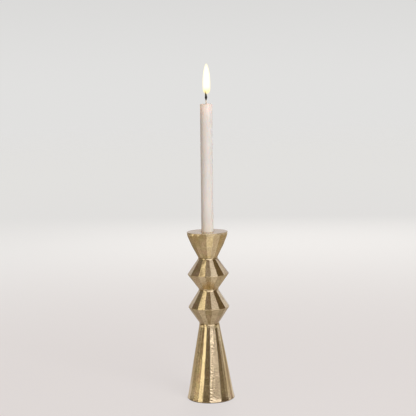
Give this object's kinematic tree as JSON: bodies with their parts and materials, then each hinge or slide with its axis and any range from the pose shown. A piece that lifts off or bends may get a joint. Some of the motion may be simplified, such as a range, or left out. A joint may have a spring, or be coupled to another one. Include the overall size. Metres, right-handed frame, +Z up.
{
  "type": "candle holder",
  "caption": "Faceted brass candle holder: a tall flared base, stacked double-cone beads and a flaring cup that holds a lit straight candle.",
  "frame": {"origin": "on the table surface, under the axis of the holder, in the middle of the felt", "axes": "+Z up along the candle, the front towards -Y, +X to the right"},
  "size_m": [0.0868, 0.0868, 0.6058],
  "materials": {
    "brass": "satin",
    "zinc_steel": "satin",
    "felt": "matte",
    "wax": "satin",
    "wick": "matte",
    "flame": "matte"
  },
  "bodies": {
    "holder": {"felt_pad": "felt", "base_cone": "brass", "lower_bead": "brass", "upper_bead": "brass", "cup": "brass", "tie_rod": "zinc_steel", "base_nut": "zinc_steel", "spring_washer": "zinc_steel", "base_washer": "zinc_steel", "base_plate": "zinc_steel", "top_washer": "zinc_steel", "top_nut": "zinc_steel"},
    "candle": {"candle": "wax", "wick": "wick", "flame": "flame"}
  },
  "joints": [
    {"name": "candle_lift", "type": "slide", "parent": "holder", "child": "candle", "axis": [0, 0, 1], "range_m": [0, 0.04]}
  ]
}
